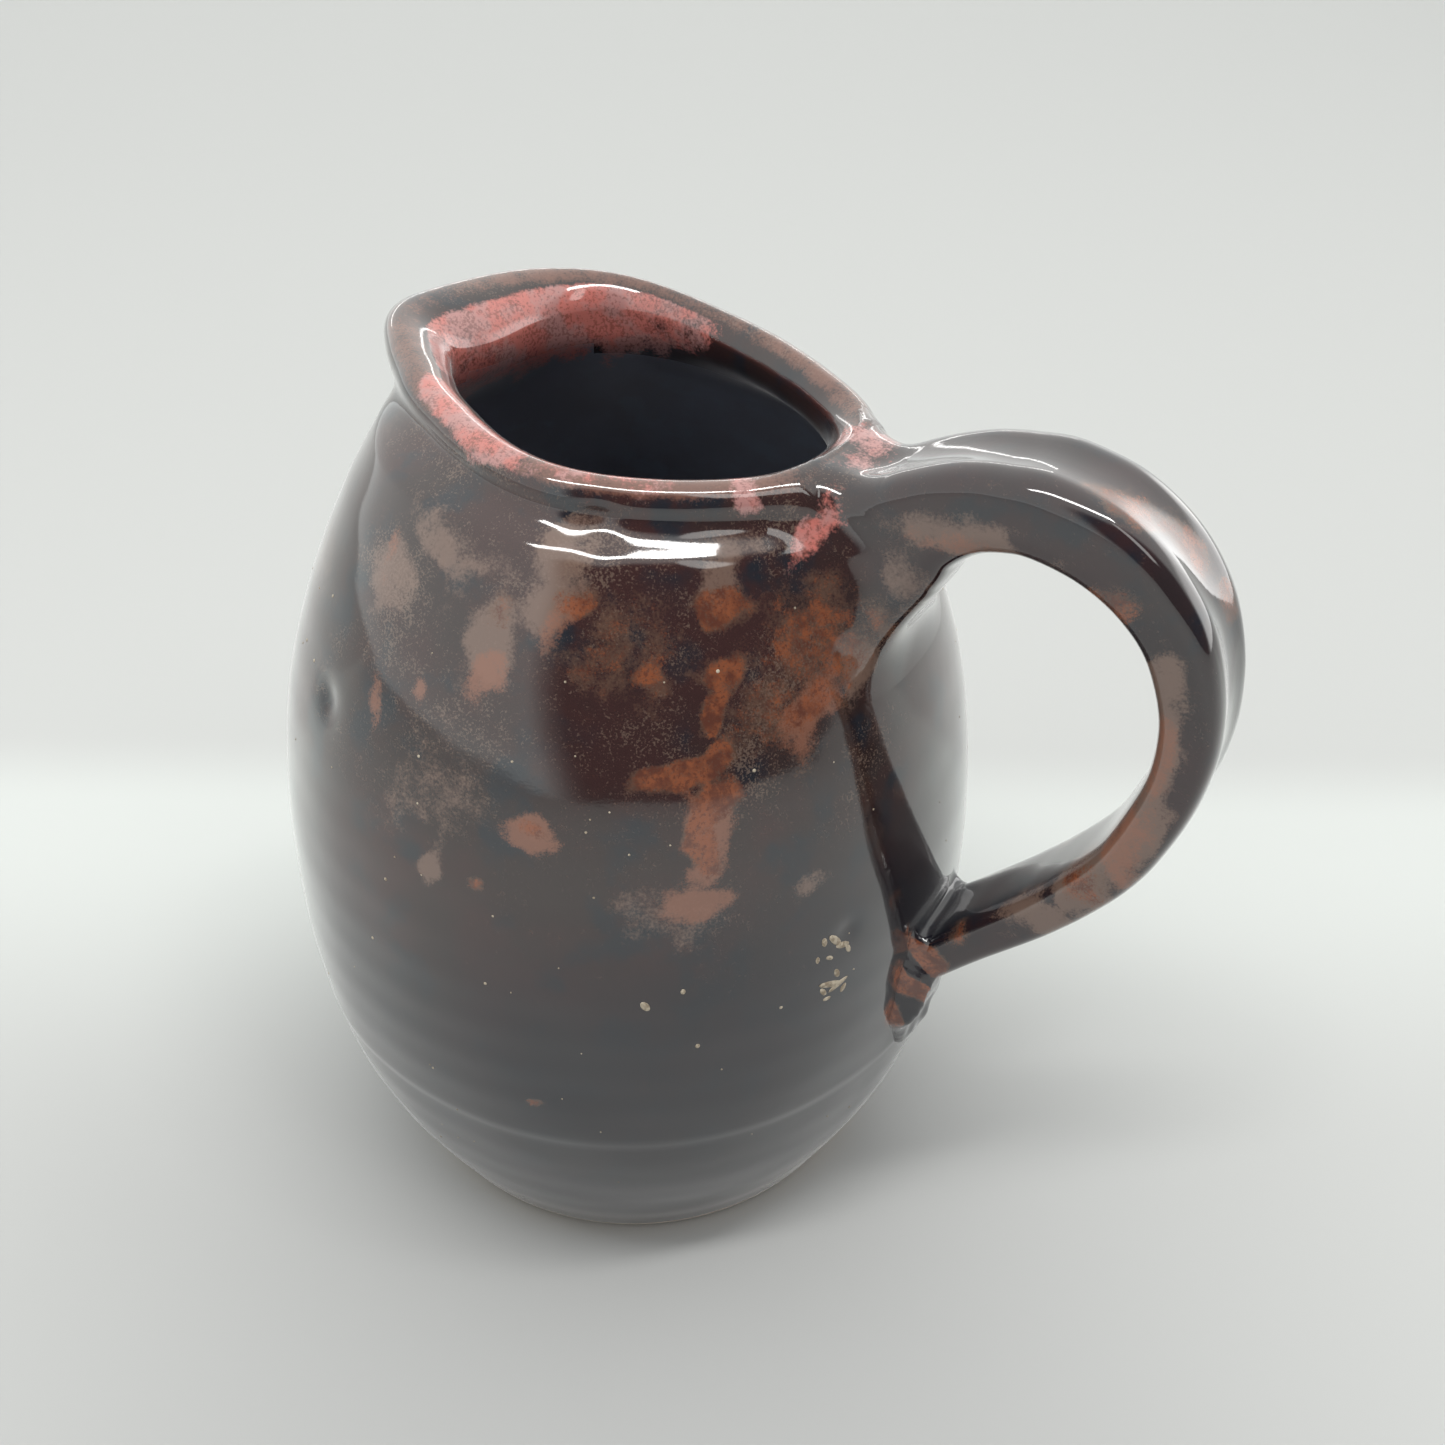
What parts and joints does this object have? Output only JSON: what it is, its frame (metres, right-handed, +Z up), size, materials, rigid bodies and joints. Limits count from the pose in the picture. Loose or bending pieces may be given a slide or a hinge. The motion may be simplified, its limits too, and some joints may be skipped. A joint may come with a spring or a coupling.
{
  "type": "milk jug",
  "caption": "Hand-thrown glazed stoneware milk jug with a round belly, a pinched mouth drawn out to a pouring lip, and a pulled strap handle.",
  "frame": {"origin": "centre of the foot, on the surface that the jug stands on", "axes": "+Z up, +X towards the handle, -X towards the pouring lip; the jug is the same on both sides of the XZ plane"},
  "size_m": [0.1241, 0.0944, 0.1211],
  "materials": {
    "body_glaze": "gloss dark iron glaze with rust and coral breaks",
    "handle_glaze": "gloss dark iron glaze with rust breaks"
  },
  "bodies": {
    "root": {"thrown_body": "body_glaze", "strap_handle": "handle_glaze", "upper_join_coil": "handle_glaze", "lower_join_pad": "handle_glaze"}
  },
  "joints": []
}
